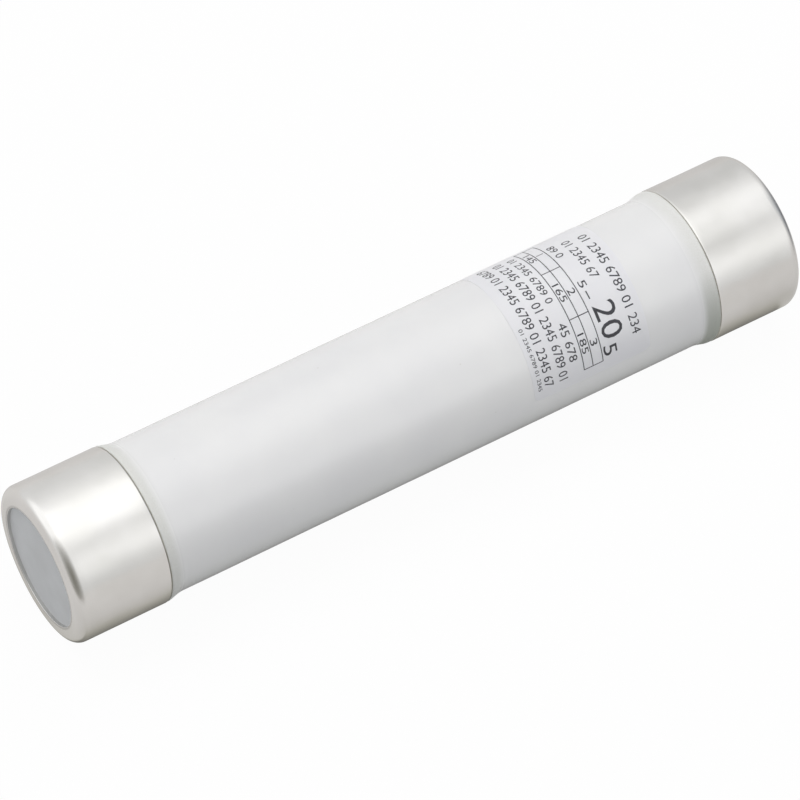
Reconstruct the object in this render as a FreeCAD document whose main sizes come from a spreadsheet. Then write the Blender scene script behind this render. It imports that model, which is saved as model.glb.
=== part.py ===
import FreeCAD, Part
import math
import os
import Sketcher

# Current-limiting fuse: a porcelain tube closed by two drawn contact caps, with notched silver strips
# wound on a ribbed core in quartz sand, and a striker pin that springs out of the right end.
# X runs along the fuse towards the striker, Z is up, and the origin is the middle of the fuse.
# Lengths are millimetres and angles are degrees.

driving = {
    # whole fuse and contact caps
    "fuse_length": 225.0,
    "cap_diameter": 45.0,
    "left_cap_length": 27.3,
    "right_cap_length": 26.5,
    "cap_wall": 1.0,
    "cap_rounding": 3.0,
    "cap_mouth_break": 0.6,
    "window_edge_break": 0.3,
    "rim_width": 2.4,
    "fit_clearance": 0.02,
    # porcelain tube
    "collar_drop": 0.1,
    "collar_rise": 0.9,
    "tube_wall": 5.5,
    "left_land_length": 0.7,
    "right_land_length": 1.4,
    "taper_length": 3.3,
    "taper_blend": 3.0,
    "collar_blend": 1.2,
    "rim_gap": 0.15,
    "shoulder_break": 0.2,
    "tube_edge_break": 1.0,
    "seat_step_gap": 0.3,
    # cement under the caps
    "cement_thickness": 0.3,
    "cement_margin": 0.5,
    # end plates and sealing rings
    "plate_thickness": 1.0,
    "plate_edge_gap": 0.2,
    "plate_edge_break": 0.15,
    "seal_thickness": 2.0,
    "seal_edge_gap": 1.3,
    "seal_width": 4.1,
    "seal_edge_break": 0.4,
    # inner caps with sprung fingers
    "inner_cap_wall": 0.8,
    "inner_cap_length": 14.0,
    "inner_cap_bend": 1.5,
    "finger_count": 8,
    "finger_slot_width": 1.2,
    "finger_slot_length": 9.0,
    # filling plug
    "fill_gap": 2.6,
    "plug_shank_diameter": 3.8,
    "plug_head_diameter": 5.0,
    "plug_head_thickness": 1.0,
    # ribbed core
    "rib_count": 6,
    "sand_cover": 5.0,
    "rib_thickness": 2.2,
    "hub_wall": 1.5,
    # hexagonal terminals on the core
    "terminal_length": 10.0,
    "terminal_floor": 1.5,
    "terminal_wall": 1.25,
    # wound strips and their tin beads
    "strip_count": 3,
    "strip_width": 2.5,
    "strip_thickness": 0.2,
    "strip_pitch": 24.0,
    "strip_clearance": 0.03,
    "strip_end_margin": 2.0,
    "neck_width": 0.9,
    "neck_length": 1.4,
    "bead_diameter": 2.2,
    "bead_height": 0.5,
    "bead_share_of_flat": 0.25,
    # quartz sand
    "sand_gap": 0.15,
    # striker
    "housing_diameter": 11.0,
    "housing_wall": 0.9,
    "housing_floor": 1.2,
    "housing_clearance": 0.1,
    "flange_thickness": 2.0,
    "pin_diameter": 6.0,
    "pin_clearance": 0.06,
    "plate_hole_clearance": 0.3,
    "head_length": 4.0,
    "head_clearance": 0.08,
    "tail_diameter": 4.0,
    "tail_length": 3.0,
    "tip_chamfer": 0.7,
    "tip_recess": 0.2,
    "striker_travel": 22.0,
    "stop_gap": 0.3,
    "bush_length": 6.0,
    "striker_seal_diameter": 16.0,
    "spring_wire_diameter": 1.0,
    "spring_coil_diameter": 6.8,
    "spring_packed_length": 14.0,
    "spring_turns": 9,
    "spring_turn_steps": 12,
    "spring_wire_sides": 8,
    "spring_end_gap": 0.05,
    # holding wire, its sleeve and anchor
    "wire_diameter": 0.5,
    "wire_clearance": 0.15,
    "sleeve_wall": 0.7,
    "anchor_shank_diameter": 2.4,
    "anchor_head_diameter": 4.4,
    "anchor_head_thickness": 1.2,
    # rating label
    "label_width": 36.6,
    "label_from_cap": 22.5,
    "label_thickness": 0.1,
    "label_start_angle": 38.0,
    "label_end_angle": 176.0,
}

derived = {
    "axis": "0",
    # places along the axis, from the left end inwards
    "left_face": "-dims.fuse_length / 2",
    "left_plate_face": "left_face + dims.cap_wall",
    "left_seal_face": "left_plate_face + dims.plate_thickness",
    "left_inner_face": "left_seal_face + dims.seal_thickness",
    "tube_left": "left_inner_face + dims.inner_cap_wall",
    "left_skirt_end": "left_inner_face + dims.inner_cap_length",
    "left_seat_step": "left_skirt_end + dims.seat_step_gap",
    "left_cement_start": "left_seat_step + dims.cement_margin",
    "left_edge": "left_face + dims.left_cap_length",
    "left_cement_end": "left_edge - dims.cement_margin",
    "left_shoulder": "left_edge + dims.rim_gap",
    "left_land_end": "left_edge + dims.left_land_length",
    "left_taper_end": "left_land_end + dims.taper_length",
    # places along the axis, from the right end inwards
    "right_face": "dims.fuse_length / 2",
    "right_plate_face": "right_face - dims.cap_wall",
    "right_seal_face": "right_plate_face - dims.plate_thickness",
    "right_flange_face": "right_seal_face - dims.seal_thickness",
    "right_inner_face": "right_flange_face - dims.flange_thickness",
    "tube_right": "right_inner_face - dims.inner_cap_wall",
    "right_skirt_end": "right_inner_face - dims.inner_cap_length",
    "right_seat_step": "right_skirt_end - dims.seat_step_gap",
    "right_cement_start": "right_seat_step - dims.cement_margin",
    "right_edge": "right_face - dims.right_cap_length",
    "right_cement_end": "right_edge + dims.cement_margin",
    "right_shoulder": "right_edge - dims.rim_gap",
    "right_land_end": "right_edge - dims.right_land_length",
    "right_taper_end": "right_land_end - dims.taper_length",
    # radii of the shell pieces
    "cap_radius": "dims.cap_diameter / 2",
    "cap_inner_radius": "cap_radius - dims.cap_wall",
    "cap_inner_rounding": "dims.cap_rounding - dims.cap_wall",
    "window_radius": "cap_radius - dims.cap_rounding - dims.rim_width",
    "plate_radius": "cap_radius - dims.cap_rounding - dims.plate_edge_gap",
    "seal_outer_radius": "cap_inner_radius - dims.seal_edge_gap",
    "seal_inner_radius": "seal_outer_radius - dims.seal_width",
    "inner_cap_radius": "cap_inner_radius - dims.fit_clearance",
    "inner_cap_bore": "inner_cap_radius - dims.inner_cap_wall",
    "inner_cap_inner_bend": "dims.inner_cap_bend - dims.inner_cap_wall",
    "inner_seat_radius": "inner_cap_bore - dims.fit_clearance",
    "cement_outer_radius": "cap_inner_radius - dims.fit_clearance",
    "cement_inner_radius": "cement_outer_radius - dims.cement_thickness",
    "seat_radius": "cement_inner_radius - dims.fit_clearance",
    "collar_radius": "cap_radius - dims.collar_drop",
    "barrel_radius": "collar_radius - dims.collar_rise",
    "bore_radius": "barrel_radius - dims.tube_wall",
    # filling plug
    "plug_shank_radius": "dims.plug_shank_diameter / 2",
    "plug_head_radius": "dims.plug_head_diameter / 2",
    "plug_head_face": "left_inner_face - dims.plug_head_thickness",
    "fill_hole_radius": "plug_shank_radius + dims.fit_clearance",
    "fill_offset": "bore_radius - dims.fill_gap",
    # striker
    "housing_radius": "dims.housing_diameter / 2",
    "housing_bore_radius": "housing_radius - dims.housing_wall",
    "housing_hole_radius": "housing_radius + dims.housing_clearance",
    "bush_face": "right_flange_face - dims.bush_length",
    "bush_bore_radius": "pin_radius + dims.pin_clearance",
    "pin_radius": "dims.pin_diameter / 2",
    "head_radius": "housing_bore_radius - dims.head_clearance",
    "head_right": "bush_face - dims.stop_gap - dims.striker_travel",
    "head_left": "head_right - dims.head_length",
    "tail_radius": "dims.tail_diameter / 2",
    "pin_tail": "head_left - dims.tail_length",
    "pin_tip": "right_plate_face - dims.tip_recess",
    "plate_hole_radius": "pin_radius + dims.plate_hole_clearance",
    "spring_left": "head_left - dims.spring_packed_length",
    "housing_left": "spring_left - dims.housing_floor",
    "striker_seal_radius": "dims.striker_seal_diameter / 2",
    # ribbed core and its terminals
    "left_core_face": "tube_left + dims.terminal_floor",
    "right_core_face": "tube_right - dims.terminal_floor",
    "left_terminal_end": "tube_left + dims.terminal_length",
    "right_terminal_end": "tube_right - dims.terminal_length",
    "core_bore_radius": "housing_radius + 2 * dims.housing_clearance",
    "hub_radius": "core_bore_radius + dims.hub_wall",
    "rib_half": "dims.rib_thickness / 2",
    "rib_reach": "bore_radius - dims.sand_cover",
    "rib_round_centre": "rib_reach - rib_half",
    "rib_root": "hub_radius - dims.hub_wall / 2",
    "flat_angle": "180 / dims.rib_count",
    # the strips' inner faces lie on the round rib tips, so their corners stand a little further out
    "hexagon_radius": "rib_round_centre + rib_half / cos(flat_angle * 1 deg)",
    "hexagon_flat": "hexagon_radius * cos(flat_angle * 1 deg)",
    "cup_bore_radius": "hexagon_flat - dims.terminal_wall",
    "nose_radius": "cup_bore_radius - dims.fit_clearance",
    "strip_radius": "hexagon_radius + dims.strip_clearance",
    "strip_left": "tube_left + dims.strip_end_margin",
    "strip_right": "tube_right - dims.strip_end_margin",
    # quartz sand round the strips and between the ribs
    "sand_outer_radius": "bore_radius - dims.fit_clearance",
    "strip_corner_reach": "strip_radius + dims.strip_thickness / cos(flat_angle * 1 deg)",
    "sand_inner_radius": "strip_corner_reach + dims.sand_gap",
    "flute_floor": "hub_radius + dims.sand_gap",
    "flute_top": "hexagon_flat - dims.sand_gap",
    "flute_side_gap": "(rib_half + dims.sand_gap) / cos(flat_angle * 1 deg)",
    "flute_floor_half": "flute_floor * tan(flat_angle * 1 deg) - flute_side_gap",
    "flute_top_half": "flute_top * tan(flat_angle * 1 deg) - flute_side_gap",
    # holding wire, its sleeve and anchor
    "wire_radius": "dims.wire_diameter / 2",
    "wire_hole_radius": "wire_radius + 2 * dims.wire_clearance",
    "sleeve_bore_radius": "wire_radius + dims.wire_clearance",
    "sleeve_radius": "sleeve_bore_radius + dims.sleeve_wall",
    "anchor_shank_radius": "dims.anchor_shank_diameter / 2",
    "anchor_hole_radius": "anchor_shank_radius + dims.fit_clearance",
    "anchor_head_radius": "dims.anchor_head_diameter / 2",
    "anchor_head_face": "left_core_face + dims.anchor_head_thickness",
    # rating label
    "label_right": "right_edge - dims.label_from_cap",
    "label_left": "label_right - dims.label_width",
    "label_radius": "barrel_radius + dims.label_thickness",
}

doc = FreeCAD.newDocument("current_limiting_fuse")


def make_sheet(name, contents, lead):
    """Sheet with one aliased cell for each entry."""
    sheet = doc.addObject("Spreadsheet::Sheet", name)
    for row, (alias, content) in enumerate(contents.items(), start=1):
        sheet.set(f"A{row}", alias)
        sheet.set(f"B{row}", f"{lead}{content}")
        sheet.setAlias(f"B{row}", alias)
    return sheet


dims = make_sheet("dims", driving, "")
doc.recompute()
places = make_sheet("places", derived, "=")
doc.recompute()


def cell(name):
    """Formula that reads a size or a place from its sheet."""
    return f"places.{name}" if name in derived else f"dims.{name}"


def size(name):
    """Number that a size or a place has now."""
    return float(getattr(places if name in derived else dims, name))


def new_body(name):
    body = doc.addObject("PartDesign::Body", name)
    body.Label = name
    return body


def new_sketch(body, name, role, station=None):
    """Empty sketch on one of the body's own planes, moved along its normal to a station."""
    sketch = body.newObject("Sketcher::SketchObject", name)
    plane = next(feature for feature in body.Origin.OriginFeatures if feature.Role == role)
    sketch.AttachmentSupport = (plane, [""])
    sketch.MapMode = "FlatFace"
    if station:
        sketch.setExpression("AttachmentOffset.Base.z", cell(station))
    return sketch


def pin_point(sketch, geometry, point, across, up):
    """Hold one sketch point at a pair of formulas."""
    for kind, formula in (("DistanceX", across), ("DistanceY", up)):
        now = float(dims.evalExpression(formula))
        index = sketch.addConstraint(Sketcher.Constraint(kind, geometry, point, now))
        sketch.setExpression(f"Constraints[{index}]", formula)


def formula_point(corner):
    """Where a pair of formulas lies in its sketch now."""
    across, up = (float(dims.evalExpression(formula)) for formula in corner)
    return FreeCAD.Vector(across, up, 0)


def draw_polygon(sketch, corners):
    """Closed outline whose corners are pairs of formulas."""
    spots = [formula_point(corner) for corner in corners]
    count = len(spots)
    for start, end in zip(spots, spots[1:] + spots[:1]):
        sketch.addGeometry(Part.LineSegment(start, end), False)
    for line in range(count):
        sketch.addConstraint(Sketcher.Constraint("Coincident", line, 2, (line + 1) % count, 1))
    for line, (across, up) in enumerate(corners):
        pin_point(sketch, line, 1, across, up)


def draw_circle(sketch, radius, up="axis"):
    centre = FreeCAD.Vector(0, size(up), 0)
    circle = sketch.addGeometry(Part.Circle(centre, FreeCAD.Vector(0, 0, 1), size(radius)), False)
    pin_point(sketch, circle, 3, cell("axis"), cell(up))
    index = sketch.addConstraint(Sketcher.Constraint("Radius", circle, size(radius)))
    sketch.setExpression(f"Constraints[{index}]", cell(radius))


def profile(body, name, corners):
    """Sketch through the axis, whose corners are named (place along X, radius) pairs."""
    sketch = new_sketch(body, name, "XY_Plane")
    draw_polygon(sketch, [(cell(place), cell(radius)) for place, radius in corners])
    return sketch


def turn(body, name, corners, kind="PartDesign::Revolution"):
    """Solid of revolution, or a turned cut, about the fuse's axis."""
    sketch = profile(body, f"{name}_profile", corners)
    feature = body.newObject(kind, name)
    feature.Profile = sketch
    feature.ReferenceAxis = (sketch, ["H_Axis"])
    feature.Angle = 360
    doc.recompute()
    return feature


def turned_body(name, corners):
    body = new_body(name)
    return body, turn(body, f"{name}_turning", corners)


def ring_body(name, left, right, inner, outer):
    """Plain turned ring between two places and two radii."""
    return turned_body(name, [(left, inner), (left, outer), (right, outer), (right, inner)])


def circle_edges(feature, spots):
    """Names of the feature's round edges at the given (place along X, radius) pairs."""
    wanted = [(size(place), size(radius)) for place, radius in spots]
    names = []
    for number, edge in enumerate(feature.Shape.Edges, start=1):
        if not isinstance(edge.Curve, Part.Circle):
            continue
        for place, radius in wanted:
            if abs(edge.Curve.Center.x - place) < 1e-4 and abs(edge.Curve.Radius - radius) < 1e-4:
                names.append(f"Edge{number}")
    return names


def soften(body, feature, name, spots, amount, kind="PartDesign::Fillet"):
    """Round or chamfer the feature's turned edges."""
    softened = body.newObject(kind, name)
    softened.Base = (feature, circle_edges(feature, spots))
    softened.setExpression("Size" if kind == "PartDesign::Chamfer" else "Radius", cell(amount))
    doc.recompute()
    return softened


def extrude(body, name, sketch, length_formula, kind="PartDesign::Pad", backwards=False):
    feature = body.newObject(kind, name)
    feature.Profile = sketch
    feature.setExpression("Length", length_formula)
    feature.Reversed = backwards
    doc.recompute()
    return feature


def round_pattern(body, name, original, axis, count):
    """Copies of a feature, evenly spaced round the fuse's axis."""
    pattern = body.newObject("PartDesign::PolarPattern", name)
    pattern.Originals = [original]
    pattern.Axis = axis
    pattern.Angle = 360
    pattern.setExpression("Occurrences", cell(count))
    body.Tip = pattern
    doc.recompute()
    return pattern


def make_porcelain_tube():
    """Straight tube with a raised collar at each end and two ground seats under each cap."""
    ends = {}
    for end, tube_end in (("left", "tube_left"), ("right", "tube_right")):
        ends[end] = [
            (tube_end, "bore_radius"),
            (tube_end, "inner_seat_radius"),
            (f"{end}_seat_step", "inner_seat_radius"),
            (f"{end}_seat_step", "seat_radius"),
            (f"{end}_shoulder", "seat_radius"),
            (f"{end}_shoulder", "collar_radius"),
            (f"{end}_land_end", "collar_radius"),
            (f"{end}_taper_end", "barrel_radius"),
        ]
    body, tube = turned_body("porcelain_tube", ends["left"] + ends["right"][::-1])
    # the left land is too short for a blend at its end
    blends = {
        "taper_blend": [("left_taper_end", "barrel_radius"), ("right_taper_end", "barrel_radius")],
        "collar_blend": [("right_land_end", "collar_radius")],
    }
    breaks = {
        "shoulder_break": [("left_shoulder", "collar_radius"), ("right_shoulder", "collar_radius")],
        "tube_edge_break": [("tube_left", "inner_seat_radius"), ("tube_right", "inner_seat_radius")],
    }
    for amount, spots in blends.items():
        tube = soften(body, tube, f"{amount}s", spots, amount)
    for amount, spots in breaks.items():
        tube = soften(body, tube, f"{amount}s", spots, amount, "PartDesign::Chamfer")
    return body


def make_contact_cap(end):
    """Drawn cup with a round shoulder, and a window in its end face."""
    face, plate, edge = f"{end}_face", f"{end}_plate_face", f"{end}_edge"
    body, cap = turned_body(f"contact_cap_{end}", [
        (face, "window_radius"),
        (face, "cap_radius"),
        (edge, "cap_radius"),
        (edge, "cap_inner_radius"),
        (plate, "cap_inner_radius"),
        (plate, "window_radius"),
    ])
    cap = soften(body, cap, "shoulder", [(face, "cap_radius")], "cap_rounding")
    cap = soften(body, cap, "inner_bend", [(plate, "cap_inner_radius")], "cap_inner_rounding")
    cap = soften(body, cap, "mouth_edge", [(edge, "cap_radius")], "cap_mouth_break", "PartDesign::Chamfer")
    soften(body, cap, "window_edge", [(face, "window_radius")], "window_edge_break", "PartDesign::Chamfer")
    return body


def make_end_plate(end, hole=None):
    """Flat plate held behind the cap's window, with the striker's hole at the right end."""
    outer, inner = f"{end}_plate_face", f"{end}_seal_face"
    name = f"end_plate_{end}"
    if hole:
        body, plate = ring_body(name, outer, inner, hole, "plate_radius")
    else:
        body, plate = ring_body(name, outer, inner, "axis", "plate_radius")
    spots = [(outer, "plate_radius"), (inner, "plate_radius")] + ([(outer, hole)] if hole else [])
    soften(body, plate, "edge_breaks", spots, "plate_edge_break", "PartDesign::Chamfer")
    return body


def make_seal_ring(end, outer, inner):
    body, ring = ring_body(f"seal_ring_{end}", outer, inner, "seal_inner_radius", "seal_outer_radius")
    radii = ("seal_inner_radius", "seal_outer_radius")
    spots = [(place, radius) for place in (outer, inner) for radius in radii]
    soften(body, ring, "edge_breaks", spots, "seal_edge_break", "PartDesign::Chamfer")
    return body


def make_inner_cap(end, hole):
    """Copper cup pressed on the tube, whose skirt is slit into sprung fingers."""
    face, floor, skirt = f"{end}_inner_face", f"tube_{end}", f"{end}_skirt_end"
    body, cup = turned_body(f"inner_cap_{end}", [
        (face, hole),
        (face, "inner_cap_radius"),
        (skirt, "inner_cap_radius"),
        (skirt, "inner_cap_bore"),
        (floor, "inner_cap_bore"),
        (floor, hole),
    ])
    bends = {"inner_cap_bend": (face, "inner_cap_radius"), "inner_cap_inner_bend": (floor, "inner_cap_bore")}
    for amount, spot in bends.items():
        cup = soften(body, cup, f"{amount}_break", [spot], amount, "PartDesign::Chamfer")
    inwards = "-" if end == "left" else "+"
    root = f"{cell(skirt)} {inwards} dims.finger_slot_length"
    mouth = f"{cell(skirt)} {'+' if end == 'left' else '-'} dims.finger_slot_width"
    sketch = new_sketch(body, "finger_slot_outline", "XY_Plane")
    half = "dims.finger_slot_width / 2"
    draw_polygon(sketch, [(root, f"-{half}"), (mouth, f"-{half}"), (mouth, half), (root, half)])
    slot = extrude(body, "finger_slot", sketch, "dims.cap_diameter / 2", "PartDesign::Pocket", backwards=True)
    round_pattern(body, "finger_slots", slot, (sketch, ["H_Axis"]), "finger_count")
    return body


def add_fill_hole(body):
    """Hole beside the core's terminal through which the sand is poured."""
    sketch = new_sketch(body, "fill_hole_outline", "YZ_Plane", "left_inner_face")
    draw_circle(sketch, "fill_hole_radius", up="fill_offset")
    extrude(body, "fill_hole", sketch, "dims.inner_cap_wall", "PartDesign::Pocket", backwards=True)


def make_fill_plug():
    """Headed plug, turned about its own axis and then set over the filling hole."""
    body, _ = turned_body("fill_plug", [
        ("plug_head_face", "axis"),
        ("plug_head_face", "plug_head_radius"),
        ("left_inner_face", "plug_head_radius"),
        ("left_inner_face", "plug_shank_radius"),
        ("tube_left", "plug_shank_radius"),
        ("tube_left", "axis"),
    ])
    body.setExpression("Placement.Base.z", cell("fill_offset"))
    return body


def make_element_core():
    """Hollow ceramic hub with round-tipped ribs, turned down at both ends to fit the terminals."""
    body = new_body("element_core")
    length = "places.right_core_face - places.left_core_face"
    hub = new_sketch(body, "hub_outline", "YZ_Plane", "left_core_face")
    draw_circle(hub, "hub_radius")
    draw_circle(hub, "core_bore_radius")
    extrude(body, "hub", hub, length)

    rib = new_sketch(body, "rib_outline", "YZ_Plane", "left_core_face")
    root, shoulder, half = cell("rib_root"), cell("rib_round_centre"), cell("rib_half")
    corners = [(root, half), (root, f"-{half}"), (shoulder, f"-{half}"), (shoulder, half)]
    spots = [formula_point(corner) for corner in corners]
    for start, end in ((0, 1), (1, 2), (3, 0)):
        rib.addGeometry(Part.LineSegment(spots[start], spots[end]), False)
    tip = Part.Circle((spots[2] + spots[3]) / 2, FreeCAD.Vector(0, 0, 1), size("rib_half"))
    rib.addGeometry(Part.ArcOfCircle(tip, -math.pi / 2, math.pi / 2), False)
    for first, first_end, second, second_end in ((0, 2, 1, 1), (1, 2, 3, 1), (3, 2, 2, 1), (2, 2, 0, 1)):
        rib.addConstraint(Sketcher.Constraint("Coincident", first, first_end, second, second_end))
    for geometry, point, corner in ((0, 1, 0), (1, 1, 1), (1, 2, 2)):
        pin_point(rib, geometry, point, *corners[corner])
    pin_point(rib, 3, 3, shoulder, "0")
    index = rib.addConstraint(Sketcher.Constraint("DistanceX", 3, 2, size("rib_round_centre")))
    rib.setExpression(f"Constraints[{index}]", shoulder)
    one_rib = extrude(body, "rib", rib, length)
    round_pattern(body, "ribs", one_rib, (rib, ["N_Axis"]), "rib_count")

    for end in ("left", "right"):
        start, stop = f"{end}_core_face", f"{end}_terminal_end"
        turn(body, f"{end}_nose", [
            (start, "nose_radius"),
            (start, "cap_radius"),
            (stop, "cap_radius"),
            (stop, "nose_radius"),
        ], "PartDesign::Groove")
    return body


def make_core_terminal(end, hole):
    """Hexagonal copper cup on the core's nose: the strips' ends lie on its flats."""
    outer, floor, mouth = f"tube_{end}", f"{end}_core_face", f"{end}_terminal_end"
    body = new_body(f"core_terminal_{end}")
    start = outer if end == "left" else mouth
    hexagon = new_sketch(body, "hexagon", "YZ_Plane", start)
    corners = []
    for corner in range(int(size("rib_count"))):
        angle = f"({2 * corner} * places.flat_angle * 1 deg)"
        corners.append((f"places.hexagon_radius * cos{angle}", f"places.hexagon_radius * sin{angle}"))
    draw_polygon(hexagon, corners)
    extrude(body, "prism", hexagon, "dims.terminal_length")
    turn(body, "cup", [
        (outer, "axis"),
        (outer, hole),
        (floor, hole),
        (floor, "cup_bore_radius"),
        (mouth, "cup_bore_radius"),
        (mouth, "axis"),
    ], "PartDesign::Groove")
    return body


strip_count = int(size("strip_count"))


def winding():
    """Number of flats that a strip crosses and the step along X from one rib to the next."""
    span = size("strip_right") - size("strip_left")
    flats = round(span * size("rib_count") / size("strip_pitch"))
    return flats, span / flats


def first_rib_of(number):
    """Rib at which a strip's left end starts, with the strips evenly shared round the core."""
    return number * int(size("rib_count")) // strip_count


def strip_corner(first_rib, rib, radius):
    """Point of a strip's centre line over a rib, at a radius."""
    angle = math.radians(2 * size("flat_angle") * (first_rib + rib))
    flats, step = winding()
    return FreeCAD.Vector(size("strip_left") + rib * step, radius * math.cos(angle), radius * math.sin(angle))


def make_fuse_element(number):
    """Silver strip wound over the rib tips: flat on each side of the core, mitred over each rib and
    narrowed to a neck in the middle of each flat."""
    first_rib = first_rib_of(number)
    flats, step = winding()
    slope = math.atan2(step, size("strip_radius") * 2 * math.sin(math.radians(size("flat_angle"))))
    half_width = size("strip_width") / 2 / math.cos(slope)
    half_neck = size("neck_width") / 2 / math.cos(slope)
    flat_length = size("strip_radius") * 2 * math.sin(math.radians(size("flat_angle"))) / math.cos(slope)
    shoulder = size("neck_length") / 2 / flat_length
    stations = ((0, half_width), (0.5 - shoulder, half_width), (0.5, half_neck), (0.5 + shoulder, half_width))
    sections = []
    for flat in range(flats + 1):
        for share, half in stations if flat < flats else stations[:1]:
            inner = [strip_corner(first_rib, flat + side, size("strip_radius")) for side in (0, 1)]
            outer = [strip_corner(first_rib, flat + side, size("strip_corner_reach")) for side in (0, 1)]
            low = inner[0] + (inner[1] - inner[0]) * share
            high = outer[0] + (outer[1] - outer[0]) * share
            across = FreeCAD.Vector(half, 0, 0)
            ring = [low - across, low + across, high + across, high - across]
            sections.append(Part.makePolygon(ring + ring[:1]))
    strip = doc.addObject("Part::Feature", f"fuse_element_{number + 1}")
    strip.Label = strip.Name
    strip.Shape = Part.makeLoft(sections, True, True)
    strip.Placement = FreeCAD.Placement()
    return strip


def make_overload_solder():
    """Tin bead on each strip, beside a neck near the middle of the fuse."""
    flats, _ = winding()
    radius = (size("bead_diameter") ** 2 / 4 + size("bead_height") ** 2) / (2 * size("bead_height"))
    lower_edge = math.degrees(math.asin(1 - size("bead_height") / radius))
    beads = []
    for number in range(strip_count):
        first_rib = first_rib_of(number)
        start = strip_corner(first_rib, flats // 2, size("strip_corner_reach"))
        end = strip_corner(first_rib, flats // 2 + 1, size("strip_corner_reach"))
        seat = start + (end - start) * size("bead_share_of_flat")
        angle = 2 * size("flat_angle") * (first_rib + flats // 2) + size("flat_angle")
        outwards = FreeCAD.Vector(0, math.cos(math.radians(angle)), math.sin(math.radians(angle)))
        bead = doc.addObject("Part::Sphere", f"bead_{number + 1}")
        bead.Radius = radius
        bead.Angle1 = lower_edge
        middle = seat - outwards * (radius - size("bead_height"))
        bead.Placement = FreeCAD.Placement(middle, FreeCAD.Rotation(FreeCAD.Vector(0, 0, 1), outwards))
        beads.append(bead)
    group = doc.addObject("Part::Compound", "overload_solder")
    group.Label = group.Name
    group.Links = beads
    return group


def make_quartz_sand():
    """Packed sand: the ring between the strips and the tube, and a column in each flute of the core."""
    ring = doc.addObject("Part::Cylinder", "sand_block")
    ring.setExpression("Radius", cell("sand_outer_radius"))
    ring.setExpression("Height", "places.tube_right - places.tube_left")
    hole = doc.addObject("Part::Cylinder", "sand_hole")
    hole.setExpression("Radius", cell("sand_inner_radius"))
    hole.setExpression("Height", "places.tube_right - places.tube_left")
    along = FreeCAD.Rotation(FreeCAD.Vector(0, 1, 0), 90)
    for block in (ring, hole):
        block.Placement = FreeCAD.Placement(FreeCAD.Vector(size("tube_left"), 0, 0), along)
        block.setExpression("Placement.Base.x", cell("tube_left"))
    jacket = doc.addObject("Part::Cut", "sand_jacket")
    jacket.Base = ring
    jacket.Tool = hole

    flutes = new_body("flute_sand")
    outline = new_sketch(flutes, "flute_outline", "YZ_Plane", "left_terminal_end")
    draw_polygon(outline, [
        ("-places.flute_floor_half", cell("flute_floor")),
        (cell("flute_floor_half"), cell("flute_floor")),
        (cell("flute_top_half"), cell("flute_top")),
        ("-places.flute_top_half", cell("flute_top")),
    ])
    column = extrude(flutes, "flute_column", outline, "places.right_terminal_end - places.left_terminal_end")
    round_pattern(flutes, "flute_columns", column, (outline, ["N_Axis"]), "rib_count")

    group = doc.addObject("Part::Compound", "quartz_sand")
    group.Label = group.Name
    group.Links = [jacket, flutes]
    return group


def make_striker_housing():
    """Brass tube with a floor for the spring and a wide flange that the sealing ring holds."""
    body, _ = turned_body("striker_housing", [
        ("housing_left", "wire_hole_radius"),
        ("housing_left", "housing_radius"),
        ("right_inner_face", "housing_radius"),
        ("right_inner_face", "seal_outer_radius"),
        ("right_flange_face", "seal_outer_radius"),
        ("right_flange_face", "housing_bore_radius"),
        ("spring_left", "housing_bore_radius"),
        ("spring_left", "wire_hole_radius"),
    ])
    return body


def make_striker_pin():
    """Steel pin with a piston head, a spring guide behind it and a chamfered tip."""
    body, pin = turned_body("striker_pin", [
        ("pin_tail", "axis"),
        ("pin_tail", "tail_radius"),
        ("head_left", "tail_radius"),
        ("head_left", "head_radius"),
        ("head_right", "head_radius"),
        ("head_right", "pin_radius"),
        ("pin_tip", "pin_radius"),
        ("pin_tip", "axis"),
    ])
    soften(body, pin, "tip", [("pin_tip", "pin_radius")], "tip_chamfer", "PartDesign::Chamfer")
    return body


def make_striker_spring():
    """Packed compression spring between the housing's floor and the pin's head. Its wire has flat sides."""
    wire_radius = size("spring_wire_diameter") / 2
    coil_radius = size("spring_coil_diameter") / 2
    first = size("spring_left") + size("spring_end_gap") + wire_radius
    rise = size("spring_packed_length") - 2 * (size("spring_end_gap") + wire_radius)
    side_count = int(size("spring_wire_sides"))
    steps = int(size("spring_turns")) * int(size("spring_turn_steps"))
    sections = []
    for step in range(steps + 1):
        middle = first + rise * step / steps
        turned = FreeCAD.Rotation(FreeCAD.Vector(1, 0, 0), 360 * size("spring_turns") * step / steps)
        ring = []
        for side in range(side_count):
            angle = 2 * math.pi * side / side_count
            along, out = wire_radius * math.cos(angle), wire_radius * math.sin(angle)
            ring.append(turned.multVec(FreeCAD.Vector(middle + along, coil_radius + out, 0)))
        sections.append(Part.makePolygon(ring + ring[:1]))
    spring = doc.addObject("Part::Feature", "striker_spring")
    spring.Label = spring.Name
    spring.Shape = Part.makeLoft(sections, True, True)
    return spring


def make_wire_anchor():
    """Headed rivet in the left terminal's floor, which holds the end of the wire."""
    body, _ = turned_body("wire_anchor", [
        ("tube_left", "axis"),
        ("tube_left", "anchor_shank_radius"),
        ("left_core_face", "anchor_shank_radius"),
        ("left_core_face", "anchor_head_radius"),
        ("anchor_head_face", "anchor_head_radius"),
        ("anchor_head_face", "axis"),
    ])
    return body


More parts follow.
